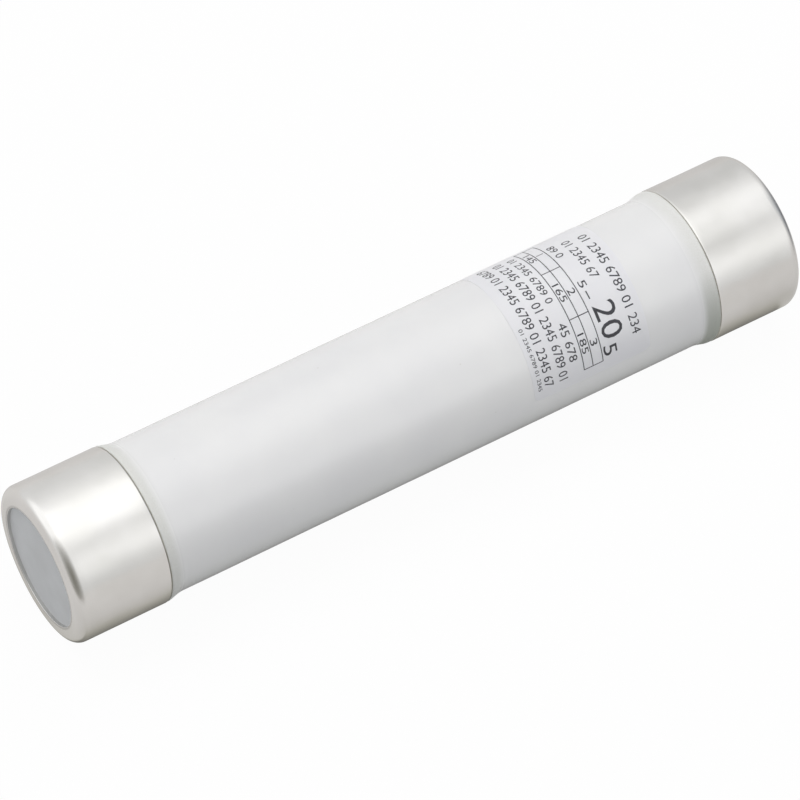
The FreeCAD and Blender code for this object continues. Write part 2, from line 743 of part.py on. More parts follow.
def make_rating_label():
    """Thin film wrapped part of the way round the tube, near the right cap."""
    body = new_body("rating_label")
    sketch = profile(body, "film_section", [
        ("label_left", "barrel_radius"),
        ("label_left", "label_radius"),
        ("label_right", "label_radius"),
        ("label_right", "barrel_radius"),
    ])
    film = body.newObject("PartDesign::Revolution", "film")
    film.Profile = sketch
    film.ReferenceAxis = (sketch, ["H_Axis"])
    film.setExpression("Angle", "dims.label_end_angle - dims.label_start_angle")
    turned = FreeCAD.Rotation(FreeCAD.Vector(1, 0, 0), size("label_start_angle"))
    body.Placement = FreeCAD.Placement(FreeCAD.Vector(0, 0, 0), turned)
    body.setExpression("Placement.Rotation.Angle", "dims.label_start_angle")
    doc.recompute()
    return body


parts = [make_porcelain_tube(), make_contact_cap("left"), make_contact_cap("right")]
parts += [make_end_plate("left"), make_end_plate("right", "plate_hole_radius")]
parts += [
    make_seal_ring("left", "left_seal_face", "left_inner_face"),
    make_seal_ring("right", "right_seal_face", "right_flange_face"),
]
left_inner_cap = make_inner_cap("left", "axis")
add_fill_hole(left_inner_cap)
parts += [left_inner_cap, make_inner_cap("right", "housing_hole_radius"), make_fill_plug()]
parts += [make_element_core(), make_core_terminal("left", "anchor_hole_radius")]
parts.append(make_core_terminal("right", "housing_hole_radius"))
parts += [make_fuse_element(number) for number in range(strip_count)]
parts += [make_overload_solder(), make_quartz_sand()]
parts += [make_striker_housing(), make_striker_pin(), make_striker_spring()]
plain_rings = {
    "cement_left": ("left_cement_start", "left_cement_end", "cement_inner_radius", "cement_outer_radius"),
    "cement_right": ("right_cement_start", "right_cement_end", "cement_inner_radius", "cement_outer_radius"),
    "striker_bush": ("bush_face", "right_flange_face", "bush_bore_radius", "housing_bore_radius"),
    "striker_seal": ("right_flange_face", "right_seal_face", "bush_bore_radius", "striker_seal_radius"),
    "striker_wire": ("anchor_head_face", "pin_tail", "axis", "wire_radius"),
    "wire_sleeve": ("anchor_head_face", "housing_left", "sleeve_bore_radius", "sleeve_radius"),
}
parts += [ring_body(name, *bounds)[0] for name, bounds in plain_rings.items()]
parts += [make_wire_anchor(), make_rating_label()]

doc.recompute()
faults = [thing.Name for thing in doc.Objects if "Invalid" in thing.State or "Error" in thing.State]
for part in parts:
    if part.Shape.isNull() or not part.Shape.isValid() or not part.Shape.Solids:
        faults.append(part.Label)
if faults:
    raise RuntimeError("these did not build: " + ", ".join(faults))

os.makedirs("parts", exist_ok=True)
for part in parts:
    part.Shape.exportStep(f"parts/{part.Label}.step")
    print(part.Label, len(part.Shape.Solids), "solid(s)", round(part.Shape.Volume, 2), "mm3")
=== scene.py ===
import math

import bmesh
import bpy
from mathutils import Matrix, Vector, noise


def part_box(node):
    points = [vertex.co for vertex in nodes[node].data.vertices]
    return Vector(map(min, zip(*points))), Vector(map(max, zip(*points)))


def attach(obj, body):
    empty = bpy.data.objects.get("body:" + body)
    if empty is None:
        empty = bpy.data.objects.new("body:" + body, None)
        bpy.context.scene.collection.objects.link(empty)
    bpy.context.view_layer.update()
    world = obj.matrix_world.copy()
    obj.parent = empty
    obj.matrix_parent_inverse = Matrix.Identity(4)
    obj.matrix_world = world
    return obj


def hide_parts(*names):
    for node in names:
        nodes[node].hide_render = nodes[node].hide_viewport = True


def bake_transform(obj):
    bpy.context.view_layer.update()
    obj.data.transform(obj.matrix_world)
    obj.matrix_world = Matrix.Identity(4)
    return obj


# Looks of a current-limiting fuse: porcelain tube, plated contact caps, printed label and striker.
# Metres, in the frame's own axes. Sizes in the dictionaries are millimetres and degrees, but the floor's
# size, the lamps and the camera's distance are metres.

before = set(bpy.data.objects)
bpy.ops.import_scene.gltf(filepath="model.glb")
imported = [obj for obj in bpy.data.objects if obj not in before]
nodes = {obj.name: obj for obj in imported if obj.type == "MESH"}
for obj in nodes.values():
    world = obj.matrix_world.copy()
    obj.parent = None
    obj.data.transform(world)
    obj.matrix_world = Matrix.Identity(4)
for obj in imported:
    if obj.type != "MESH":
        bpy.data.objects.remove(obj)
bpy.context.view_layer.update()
mm = 0.001
print("frame loaded,", len(nodes), "nodes")


def hexColour(text):
    # sRGB hex to the linear values that the shaders work in
    channels = [int(text[i:i + 2], 16) / 255 for i in (1, 3, 5)]
    linear = [c / 12.92 if c <= 0.04045 else ((c + 0.055) / 1.055) ** 2.4 for c in channels]
    return (*linear, 1.0)


def addNode(tree, kind, settings):
    # each setting names a socket (or its number) or else a property; another node's output is linked
    node = tree.nodes.new(kind)
    for key, value in settings.items():
        if isinstance(value, bpy.types.NodeSocket):
            tree.links.new(value, node.inputs[key])
        elif isinstance(key, int) or key in node.inputs:
            node.inputs[key].default_value = value
        else:
            setattr(node, key, value)
    return node


def calculate(tree, operation, *values, clamp=False):
    settings = {"operation": operation, "use_clamp": clamp, **dict(enumerate(values))}
    return addNode(tree, "ShaderNodeMath", settings).outputs[0]


def mapped(tree, value, low, high, toLow=0.0, toHigh=1.0, smooth=False):
    # a value from low to high turned into one from toLow to toHigh, and held at both ends
    return addNode(tree, "ShaderNodeMapRange", {
        "interpolation_type": "SMOOTHSTEP" if smooth else "LINEAR", "Value": value,
        "From Min": low, "From Max": high, "To Min": toLow, "To Max": toHigh,
    }).outputs[0]


def mixed(tree, share, first, second):
    # two colours mixed by a share; each is a hex colour or another node's output
    colours = [hexColour(colour) if isinstance(colour, str) else colour for colour in (first, second)]
    return addNode(tree, "ShaderNodeMix", {
        "data_type": "RGBA", "Factor": share, 6: colours[0], 7: colours[1],
    }).outputs[2]


def ramped(tree, source, stops):
    # stops are (position, hex colour or grey level) along a value from 0 to 1
    ramp = addNode(tree, "ShaderNodeValToRGB", {"Fac": source})
    elements = ramp.color_ramp.elements
    while len(elements) < len(stops):
        elements.new(1.0)
    for element, (position, tone) in zip(elements, stops):
        element.position = position
        element.color = hexColour(tone) if isinstance(tone, str) else (tone, tone, tone, 1.0)
    return ramp.outputs["Color"]


def perMetre(sizeMm):
    # texture scale whose pattern repeats at about this real size
    return 1000 / sizeMm


def inMetres(lengths):
    return [length * mm for length in lengths]


def noiseOf(tree, place, scale, detail):
    return addNode(tree, "ShaderNodeTexNoise", {
        "Scale": scale, "Detail": detail, "Vector": place,
    }).outputs["Fac"]


# the band of a noise's levels in which a finish goes from its dark tone to its light one
cloudBand = (0.35, 0.65)


def twoTone(tree, source, dark, light, band=cloudBand):
    return ramped(tree, source, [(band[0], dark), (band[1], light)])


def bumped(tree, height, strength, depth, below=None):
    # a bump of this depth in mm, on top of the one below it
    settings = {"Strength": strength, "Distance": depth * mm, "Height": height}
    if below is not None:
        settings["Normal"] = below
    return addNode(tree, "ShaderNodeBump", settings).outputs[0]


def emptyMaterial(name):
    # a material with nothing in it yet, and object coordinates for its patterns
    material = bpy.data.materials.new(name)
    material.use_nodes = True
    tree = material.node_tree
    tree.nodes.clear()
    return material, tree, addNode(tree, "ShaderNodeTexCoord", {}).outputs["Object"]


def setSurface(tree, shader):
    addNode(tree, "ShaderNodeOutputMaterial", {"Surface": shader.outputs[0]})


def principled(tree, settings):
    setSurface(tree, addNode(tree, "ShaderNodeBsdfPrincipled", settings))


# Glazed electrical porcelain, fired and dipped: white with a cool cast, a soft sheen that ripples
# gently, and a few specks. The collars are bare biscuit: a little darker and matt. The right one carries
# a grey green painted shade low at the front; the left one a thin even painted shade. Bumps are (strength,
# depth).
porcelain = {
    "glazeLight": "#F1F1F1",
    "glazeDark": "#EDEDEE",
    "biscuitLight": "#E7E7E5",
    "biscuitDark": "#DFDFDB",
    # grey green tone of the painted shade on the collars
    "paintedShadeTone": "#A9ADA4",
    "speck": "#C9C7BF",
    "refraction": 1.62,
    "glazeRoughness": 0.20,
    "biscuitRoughness": 0.6,
    "cloudSize": 22.0,
    "speckSize": 9.0,
    "speckFade": (0.015, 0.03),
    "speckShare": 0.35,
    "grainSize": 0.35,
    "grainBand": (0.3, 0.7),
    "rippleSize": 6.0,
    "ripple": (0.12, 0.15),
    "tooth": (0.35, 0.05),
    "collarRadius": 22.4,
    # the painted shade on the collars: the side it faces and how much, where it starts on the right collar,
    # and the left collar's even share
    "paintedShadeAngle": 200.0,
    "paintedShadeFacing": (0.45, 1.03),
    "bareLeft": (-83.6, -80.4),
    "bareRight": (79.6, 84.4),
    "paintedShadeFrom": (80.8, 82.4),
    "leftPaintedShade": 0.13,
}


def makePorcelain():
    material, tree, place = emptyMaterial("glazedPorcelain")
    cloud = noiseOf(tree, place, perMetre(porcelain["cloudSize"]), 3.0)
    glaze = twoTone(tree, cloud, porcelain["glazeDark"], porcelain["glazeLight"])
    grain = noiseOf(tree, place, perMetre(porcelain["grainSize"]), 4.0)
    biscuit = twoTone(tree, grain, porcelain["biscuitDark"], porcelain["biscuitLight"],
                      porcelain["grainBand"])
    # tiny iron specks under the glaze, drawn a little larger than real so that they show
    dots = addNode(tree, "ShaderNodeTexVoronoi", {"Scale": perMetre(porcelain["speckSize"]), "Vector": place})
    near = mapped(tree, dots.outputs["Distance"], *porcelain["speckFade"], porcelain["speckShare"], 0.0)
    specked = mixed(tree, near, glaze, porcelain["speck"])
    # bare share along the fuse: 1 on the collars, 0 on the glazed barrel
    along = addNode(tree, "ShaderNodeSeparateXYZ", {"Vector": place}).outputs["X"]
    bareLeft = mapped(tree, along, *inMetres(porcelain["bareLeft"]), 1.0, 0.0, smooth=True)
    bareRight = mapped(tree, along, *inMetres(porcelain["bareRight"]), smooth=True)
    bare = calculate(tree, "ADD", bareLeft, bareRight, clamp=True)
    collar = mixed(tree, bare, specked, biscuit)
    # the painted shade grows with how far a spot faces the lower front; the left collar has a thin even
    # painted shade
    turn, radius = math.radians(porcelain["paintedShadeAngle"]), porcelain["collarRadius"] * mm
    paintedShadeSide = (0, math.cos(turn) / radius, math.sin(turn) / radius)
    facing = addNode(tree, "ShaderNodeVectorMath", {"operation": "DOT_PRODUCT", 0: place, 1: paintedShadeSide})
    low = mapped(tree, facing.outputs["Value"], *porcelain["paintedShadeFacing"])
    reach = mapped(tree, along, *inMetres(porcelain["paintedShadeFrom"]))
    left = calculate(tree, "MULTIPLY", bareLeft, porcelain["leftPaintedShade"])
    paintedShadeShare = calculate(tree, "MULTIPLY_ADD", low, reach, left)
    ripple = noiseOf(tree, place, perMetre(porcelain["rippleSize"]), 2.0)
    tooth = calculate(tree, "MULTIPLY", grain, bare)
    principled(tree, {
        "IOR": porcelain["refraction"],
        "Base Color": mixed(tree, paintedShadeShare, collar, porcelain["paintedShadeTone"]),
        "Roughness": mapped(tree, bare, 0.0, 1.0, porcelain["glazeRoughness"], porcelain["biscuitRoughness"]),
        "Normal": bumped(tree, tooth, *porcelain["tooth"], bumped(tree, ripple, *porcelain["ripple"])),
    })
    return material


# Metals and other plain finishes share one recipe: a two-tone cloud in the colour, the same cloud in the
# roughness, and a fine bump. Each entry says what the real one is and what that gives the eye.
finishes = {
    # drawn brass cap, barrel plated with bright tin: pale warm silver, soft wide highlights, faint clouding
    "tinPlatedCap": {
        "light": "#D1D0CE", "dark": "#CBCAC7", "metallic": 1.0, "roughness": (0.19, 0.25),
        "cloudSize": 13.0, "grainSize": (2.2, 2.2, 2.2), "bump": 0.010, "wave": 0.35,
        # the last two give a painted shade round the punched window's edge
        "paintedShadeReach": (17.0, 18.2), "paintedShadeLevels": [(0.12, 1.0), (0.22, 0.64), (0.42, 0.64), (0.80, 1.0)],
    },
    # hot tinned steel disc: flat mid grey, dull, with a faint mottle
    "dullTinnedPlate": {
        "light": "#CCCED0", "dark": "#C3C5C7", "metallic": 0.2, "roughness": (0.55, 0.66),
        "cloudSize": 9.0, "grainSize": (0.6, 0.6, 0.6), "bump": 0.012, "wave": 0.0,
    },
    # moulded nitrile rubber: near black and matt
    "mouldedRubber": {
        "light": "#2B2B2D", "dark": "#1F1F21", "metallic": 0.0, "roughness": (0.6, 0.75),
        "cloudSize": 5.0, "grainSize": (0.5, 0.5, 0.5), "bump": 0.02, "wave": 0.0,
    },
    # pressed copper: salmon pink, slightly tarnished
    "pressedCopper": {
        "light": "#D99B7C", "dark": "#B9745A", "metallic": 1.0, "roughness": (0.28, 0.42),
        "cloudSize": 7.0, "grainSize": (3.0, 0.4, 0.4), "bump": 0.008, "wave": 0.02,
    },
    # turned brass rod: pale gold with fine rings from the lathe
    "turnedBrass": {
        "light": "#DEC27E", "dark": "#C6A45C", "metallic": 1.0, "roughness": (0.22, 0.34),
        "cloudSize": 6.0, "grainSize": (0.25, 8.0, 8.0), "bump": 0.010, "wave": 0.0,
    },
    # trowelled silicate cement: warm grey, gritty and matt
    "silicateCement": {
        "light": "#BDB8AC", "dark": "#9C978B", "metallic": 0.0, "roughness": (0.85, 0.95),
        "cloudSize": 2.5, "grainSize": (0.3, 0.3, 0.3), "bump": 0.06, "wave": 0.0,
    },
    # pressed and fired steatite: cream, smooth and matt
    "firedSteatite": {
        "light": "#EFEBE0", "dark": "#E2DCCD", "metallic": 0.0, "roughness": (0.55, 0.68),
        "cloudSize": 8.0, "grainSize": (0.4, 0.4, 0.4), "bump": 0.02, "wave": 0.0,
    },
    # rolled silver strip: white metal, bright, with fine rolling lines
    "rolledSilver": {
        "light": "#F0EEE8", "dark": "#DAD7CE", "metallic": 1.0, "roughness": (0.18, 0.30),
        "cloudSize": 4.0, "grainSize": (0.2, 3.0, 3.0), "bump": 0.004, "wave": 0.0,
    },
    # tin solder drop: grey white with a frosty skin
    "tinSolder": {
        "light": "#D2D3D4", "dark": "#BFC0C2", "metallic": 1.0, "roughness": (0.3, 0.45),
        "cloudSize": 1.5, "grainSize": (0.4, 0.4, 0.4), "bump": 0.02, "wave": 0.0,
    },
    # washed quartz sand, grains of about half a millimetre: buff with dark and clear grains
    "quartzSand": {
        "light": "#EBE3D0", "dark": "#B5A88C", "metallic": 0.0, "roughness": (0.5, 0.8),
        "cloudSize": 0.55, "grainSize": (0.5, 0.5, 0.5), "bump": 0.25, "wave": 0.0,
    },
    # centreless ground steel: cool grey with rings too fine to see singly
    "groundSteel": {
        "light": "#BCBDBF", "dark": "#A6A7AA", "metallic": 1.0, "roughness": (0.2, 0.3),
        "cloudSize": 5.0, "grainSize": (0.15, 6.0, 6.0), "bump": 0.006, "wave": 0.0,
    },
    # drawn and oiled spring wire: dark grey with a gloss
    "drawnSpringWire": {
        "light": "#8E8F93", "dark": "#6C6D71", "metallic": 1.0, "roughness": (0.25, 0.38),
        "cloudSize": 3.0, "grainSize": (0.3, 0.3, 0.3), "bump": 0.008, "wave": 0.0,
    },
    # braided glass sleeve: off-white with a fine diamond braid
    "braidedGlass": {
        "light": "#F1EEE4", "dark": "#CFC9B8", "metallic": 0.0, "roughness": (0.6, 0.8),
        "cloudSize": 0.8, "grainSize": (0.5, 0.5, 0.5), "bump": 0.12, "wave": 0.0,
    },
    # sealing lacquer in the joint under the cap's rim: olive grey and half matt
    "sealingLacquer": {
        "light": "#BFBCB0", "dark": "#A8A598", "metallic": 0.0, "roughness": (0.4, 0.55),
        "cloudSize": 4.0, "grainSize": (0.5, 0.5, 0.5), "bump": 0.02, "wave": 0.0,
    },
    # printing ink on film: dark grey, flat, a little uneven
    "printingInk": {
        "light": "#33343B", "dark": "#232329", "metallic": 0.0, "roughness": (0.4, 0.5),
        "cloudSize": 1.2, "grainSize": (0.3, 0.3, 0.3), "bump": 0.004, "wave": 0.0,
    },
}


def makeFinish(name):
    finish = finishes[name]
    material, tree, place = emptyMaterial(name)
    cloudScale = perMetre(finish["cloudSize"])
    cloud = noiseOf(tree, place, cloudScale, 4.0)
    tone = twoTone(tree, cloud, finish["dark"], finish["light"])
    scale = [perMetre(size) for size in finish["grainSize"]]
    stretched = addNode(tree, "ShaderNodeMapping", {"Scale": scale, "Vector": place}).outputs[0]
    normal = bumped(tree, noiseOf(tree, stretched, 1.0, 3.0), 1.0, finish["bump"])
    if finish["wave"]:
        # slow waves left by the drawing press, which make the reflections wander a little
        normal = bumped(tree, noiseOf(tree, place, cloudScale, 1.0), 1.0, finish["wave"], normal)
    if "paintedShadeReach" in finish:
        # painted shade round the edge of the punched window: the recess wall and a thin ring of the rim face
        # are darkened
        flat = addNode(tree, "ShaderNodeMapping", {"Scale": (0.0, 1.0, 1.0), "Vector": place})
        reach = addNode(tree, "ShaderNodeVectorMath", {"operation": "LENGTH", 0: flat.outputs[0]})
        along = mapped(tree, reach.outputs["Value"], *inMetres(finish["paintedShadeReach"]))
        share = ramped(tree, along, finish["paintedShadeLevels"])
        shaded = addNode(tree, "ShaderNodeVectorMath", {"operation": "SCALE", 0: tone, "Scale": share})
        tone = shaded.outputs[0]
    principled(tree, {
        "Metallic": finish["metallic"],
        "Base Color": tone,
        "Roughness": mapped(tree, cloud, *cloudBand, *finish["roughness"]),
        "Normal": normal,
    })
    return material


# Satin polyester film with a clear adhesive: a touch cooler than the glaze and slightly smoother.
labelFilm = {
    "light": "#EEEEF1", "dark": "#EBEBEF", "refraction": 1.48, "roughness": (0.32, 0.38),
    "cloudSize": 12.0, "grainSize": 0.8, "bump": (0.5, 0.01),
}


def makeLabelFilm():
    material, tree, place = emptyMaterial("polyesterFilm")
    cloud = noiseOf(tree, place, perMetre(labelFilm["cloudSize"]), 3.0)
    grain = noiseOf(tree, place, perMetre(labelFilm["grainSize"]), 2.0)
    principled(tree, {
        "IOR": labelFilm["refraction"],
        "Base Color": twoTone(tree, cloud, labelFilm["dark"], labelFilm["light"]),
        "Roughness": mapped(tree, cloud, *cloudBand, *labelFilm["roughness"]),
        "Normal": bumped(tree, grain, *labelFilm["bump"]),
    })
    return material


materials = {name: makeFinish(name) for name in finishes}
materials["glazedPorcelain"] = makePorcelain()
materials["polyesterFilm"] = makeLabelFilm()
print("materials made,", len(materials))

# what each carried-over CAD node is made of
nodeFinishes = {
    "pressedCopper": ["inner_cap_left", "inner_cap_right", "core_terminal_left", "core_terminal_right"],
    "turnedBrass": ["fill_plug", "striker_housing", "striker_bush", "wire_anchor"],
    "silicateCement": ["cement_left", "cement_right"],
    "firedSteatite": ["element_core"],
    "rolledSilver": ["fuse_element_1", "fuse_element_2", "fuse_element_3"],
    "tinSolder": ["overload_solder"],
    "quartzSand": ["quartz_sand"],
    "mouldedRubber": ["seal_ring_left", "seal_ring_right", "striker_seal"],
    "drawnSpringWire": ["striker_wire", "striker_spring"],
    "braidedGlass": ["wire_sleeve"],
    "groundSteel": ["striker_pin"],
    "tinPlatedCap": ["contact_cap_left", "contact_cap_right"],
    "dullTinnedPlate": ["end_plate_left", "end_plate_right"],
    "glazedPorcelain": ["porcelain_tube"],
    "polyesterFilm": ["rating_label"],
}
for finishName, nodeNames in nodeFinishes.items():
    for nodeName in nodeNames:
        slots = nodes[nodeName].data.materials
        slots.clear()
        slots.append(materials[finishName])


def arc(centre, radius, start, end, steps):
    # points of an arc in the (place along X, radius) plane; angles from +X, in degrees
    points = []
    for step in range(steps + 1):
        angle = math.radians(start + (end - start) * step / steps)
        points.append((centre[0] + radius * math.cos(angle), centre[1] + radius * math.sin(angle)))
    return points


def newObject(name, content):
    piece = bpy.data.objects.new(name, content)
    bpy.context.scene.collection.objects.link(piece)
    return piece


def finishPiece(name, build, materialName, sharpAngle=35):
    # the closed mesh becomes an object, smooth except at its sharp edges
    bmesh.ops.recalc_face_normals(build, faces=build.faces)
    mesh = bpy.data.meshes.new(name)
    build.to_mesh(mesh)
    build.free()
    mesh.update()
    for polygon in mesh.polygons:
        polygon.use_smooth = True
    mesh.set_sharp_from_angle(angle=math.radians(sharpAngle))
    mesh.materials.append(materials[materialName])
    return newObject(name, mesh)


# how fast the wander of a turned wall changes, per mm
wanderScale = 0.11


def turnedPiece(name, outline, materialName, segments=240, closed=True, wander=0.0):
    # outline is (place, radius) in mm, spun round X; wander moves the wall in and out by up to that much
    build = bmesh.new()
    rings = []
    for place, radius in outline:
        if radius < 1e-6:
            rings.append([build.verts.new((place * mm, 0, 0))])
            continue
        ring = []
        for step in range(segments):
            angle = 2 * math.pi * step / segments
            across, up = math.cos(angle), math.sin(angle)
            spot = Vector((place, radius * across, radius * up))
            offset = wander * noise.noise(spot * wanderScale) if wander else 0.0
            reach = (radius + offset) * mm
            ring.append(build.verts.new((place * mm, reach * across, reach * up)))
        rings.append(ring)
    following = rings[1:] + rings[:1] if closed else rings[1:]
    for first, second in zip(rings, following):
        for step in range(segments):
            after = (step + 1) % segments
            corners = [first[step % len(first)], first[after % len(first)],
                       second[after % len(second)], second[step % len(second)]]
            unique = list(dict.fromkeys(corners))
            if len(unique) > 2:
                build.faces.new(unique)
    return finishPiece(name, build, materialName)


def edgeOf(node, side):
    # lowest (0) or highest (1) X of a CAD node, in mm
    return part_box(node)[side][0] / mm


def endsOf(node, side):
    # a piece's outer and inner end along X in mm, and the sign of the way inwards
    low, high = edgeOf(node, 0), edgeOf(node, 1)
    return (low, high, 1) if side == "left" else (high, low, -1)


# Porcelain tube; each blend of a corner is (reach, steps)
tube = {
    "barrelRadius": 21.5, "collarRadius": porcelain["collarRadius"], "boreRadius": 16.0,
    "capSeatRadius": 21.1, "innerSeatRadius": 20.64, "innerCapWall": 0.8,
    "shoulderGap": 0.15, "leftLand": 0.7, "rightLand": 1.4, "taper": 3.3,
    "seatStep": 14.3, "endBreak": 1.0, "lipRound": 0.2, "wander": 0.03, "barrelSpans": 40,
    "taperBlend": (1.5, 10), "leftLandBlend": (0.14, 3), "rightLandBlend": (0.6, 4),
}


def blendCorner(before, corner, after, reach, steps):
    # the corner of an outline eased into a curve that starts and ends this far from it
    middle = Vector(corner)
    start = middle + (Vector(before) - middle).normalized() * reach
    end = middle + (Vector(after) - middle).normalized() * reach
    points = []
    for step in range(steps + 1):
        t = step / steps
        points.append(tuple(start * (1 - t) ** 2 + middle * 2 * t * (1 - t) + end * t ** 2))
    return points


def makeTube():
    left, right = edgeOf("porcelain_tube", 0), edgeOf("porcelain_tube", 1)
    bore, inner, seat = tube["boreRadius"], tube["innerSeatRadius"], tube["capSeatRadius"]
    collar, barrel, lip, edge = tube["collarRadius"], tube["barrelRadius"], tube["lipRound"], tube["endBreak"]
    leftMouth, rightMouth = edgeOf("contact_cap_left", 1), edgeOf("contact_cap_right", 0)
    leftStart, leftEnd = leftMouth + tube["shoulderGap"], leftMouth + tube["leftLand"]
    rightStart, rightEnd = rightMouth - tube["rightLand"], rightMouth - tube["shoulderGap"]
    leftTaper, rightTaper = (leftEnd + tube["taper"], barrel), (rightStart - tube["taper"], barrel)
    seatDepth = tube["seatStep"] - tube["innerCapWall"]
    stepLeft, stepRight = left + seatDepth, right - seatDepth
    between, spans = rightTaper[0] - leftTaper[0], tube["barrelSpans"]
    outline = [(left, bore), (left, inner - edge), (left + edge, inner), (stepLeft, inner), (stepLeft, seat)]
    outline += [(leftStart, seat)]
    outline += arc((leftStart + lip, collar - lip), lip, 180, 90, 4)
    outline += blendCorner((leftStart + lip, collar), (leftEnd, collar), leftTaper, *tube["leftLandBlend"])
    outline += blendCorner((leftEnd, collar), leftTaper, (0, barrel), *tube["taperBlend"])
    outline += [(leftTaper[0] + between * span / spans, barrel) for span in range(2, spans - 1)]
    outline += blendCorner((0, barrel), rightTaper, (rightStart, collar), *tube["taperBlend"])
    outline += blendCorner(rightTaper, (rightStart, collar), (rightEnd, collar), *tube["rightLandBlend"])
    outline += arc((rightEnd - lip, collar - lip), lip, 90, 0, 4)
    outline += [(rightEnd, seat), (stepRight, seat), (stepRight, inner), (right - edge, inner)]
    outline += [(right, inner - edge), (right, bore)]
    piece = turnedPiece("tubeBody", outline, "glazedPorcelain", wander=tube["wander"])
    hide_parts("porcelain_tube")
    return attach(piece, "fuse_link")


# Contact caps, measured inwards from their closed ends
cap = {
    "radius": 22.5, "wall": 1.0, "shoulder": 3.0, "windowRadius": 17.1, "windowEase": 0.15,
    "mouthRound": 0.5, "wander": 0.03, "wallSpans": 14,
}


def makeCap(side):
    node = f"contact_cap_{side}"
    faceAt, mouthAt, inwards = endsOf(node, side)
    length = abs(mouthAt - faceAt)
    radius, wall, shoulder = cap["radius"], cap["wall"], cap["shoulder"]
    window, mouth, ease, spans = cap["windowRadius"], cap["mouthRound"], cap["windowEase"], cap["wallSpans"]
    centre = (shoulder, radius - shoulder)
    straight = length - mouth - shoulder
    outline = [(wall, window)]
    outline += arc((ease, window + ease), ease, 270, 180, 8)
    outline += arc(centre, shoulder, 180, 90, 16)
    outline += [(shoulder + straight * span / spans, radius) for span in range(1, spans)]
    outline += arc((length - mouth, radius - mouth), mouth, 90, 0, 6)
    outline += [(length, radius - wall)]
    outline += arc(centre, shoulder - wall, 90, 180, 8)
    outline = [(faceAt + inwards * depth, reach) for depth, reach in outline]
    piece = turnedPiece(f"contactCap_{side}", outline, "tinPlatedCap", wander=cap["wander"])
    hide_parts(node)
    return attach(piece, "fuse_link")


# Discs behind the caps' windows; the right one has the striker's hole with a small countersink
disc = {
    "radius": 19.3, "edgeRound": 0.15, "rings": 8, "holeRadius": 3.3, "countersink": 0.35, "clearOfHole": 0.5,
}


def makeDisc(side):
    node = f"end_plate_{side}"
    outer, inner, inwards = endsOf(node, side)
    thickness = abs(outer - inner)
    radius, edge = disc["radius"], disc["edgeRound"]
    rings = [radius * share / disc["rings"] for share in range(1, disc["rings"])]
    opening, last = [(0, 0)], [(thickness, 0)]
    if side == "right":
        hole, sink = disc["holeRadius"], disc["countersink"]
        rings = [ring for ring in rings if ring > hole + sink + disc["clearOfHole"]]
        opening, last = [(sink, hole), (0, hole + sink)], [(thickness, hole)]
    outline = opening + [(0, ring) for ring in rings]
    outline += arc((edge, radius - edge), edge, 180, 90, 3)
    outline += arc((thickness - edge, radius - edge), edge, 90, 0, 3)
    outline += [(thickness, ring) for ring in reversed(rings)] + last
    outline = [(outer + inwards * depth, reach) for depth, reach in outline]
    piece = turnedPiece(f"endDisc_{side}", outline, "dullTinnedPlate", closed=side == "right")
    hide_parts(node)
    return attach(piece, "fuse_link")


# Lacquer that closes the thin joint between each cap's rim and the collar
jointSeal = {"inner": 21.2, "outer": 22.3, "width": 0.15, "dip": 0.04}


def makeJointSeal(side):
    _, near, inwards = endsOf(f"contact_cap_{side}", side)
    far = near + inwards * jointSeal["width"]
    inner, outer = jointSeal["inner"], jointSeal["outer"]
    outline = [(near, inner), (near, outer), ((near + far) / 2, outer - jointSeal["dip"])]
    outline += [(far, outer), (far, inner)]
    piece = turnedPiece(f"jointSeal_{side}", outline, "sealingLacquer")
    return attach(piece, "fuse_link")


shellPieces = [makeTube()]
for side in ("left", "right"):
    shellPieces += [makeCap(side), makeDisc(side), makeJointSeal(side)]
print("shell made,", len(shellPieces), "pieces")

# Striker pin: head, ground stem and chamfered tip
pin = {
    "tailRadius": 2.0, "tailBreak": 0.3, "headRadius": 4.52, "headBreak": 0.2, "stemRadius": 3.0,
    "tailLength": 3.0, "headLength": 4.0, "tip": 0.7, "tipBreak": 0.1, "faceInset": 0.05, "segments": 96,
}


def makePin():
    start, end = edgeOf("striker_pin", 0), edgeOf("striker_pin", 1)
    tail, head, stem = pin["tailRadius"], pin["headRadius"], pin["stemRadius"]
    tailEase, headEase, tipEase = pin["tailBreak"], pin["headBreak"], pin["tipBreak"]
    tipRadius = stem - pin["tip"]
    headFrom = start + pin["tailLength"]
    headTo = headFrom + pin["headLength"]
    outline = [(start, 0), (start, tail - tailEase), (start + tailEase, tail), (headFrom, tail)]
    outline += [(headFrom, head - headEase), (headFrom + headEase, head), (headTo - headEase, head)]
    outline += [(headTo, head - headEase), (headTo, stem), (end - pin["tip"], stem)]
    outline += [(end - tipEase, tipRadius + tipEase), (end, tipRadius - pin["faceInset"]), (end, 0)]
    piece = turnedPiece("strikerPin", outline, "groundSteel", segments=pin["segments"], closed=False)
    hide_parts("striker_pin")
    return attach(piece, "striker")


# Striker spring: a round-wire coil between the housing's floor and the pin's head
spring = {
    "coilRadius": 3.4, "wireRadius": 0.5, "turns": 9, "turnSteps": 28, "wireSides": 12, "endGap": 0.05,
    "packed": 14.0,
}


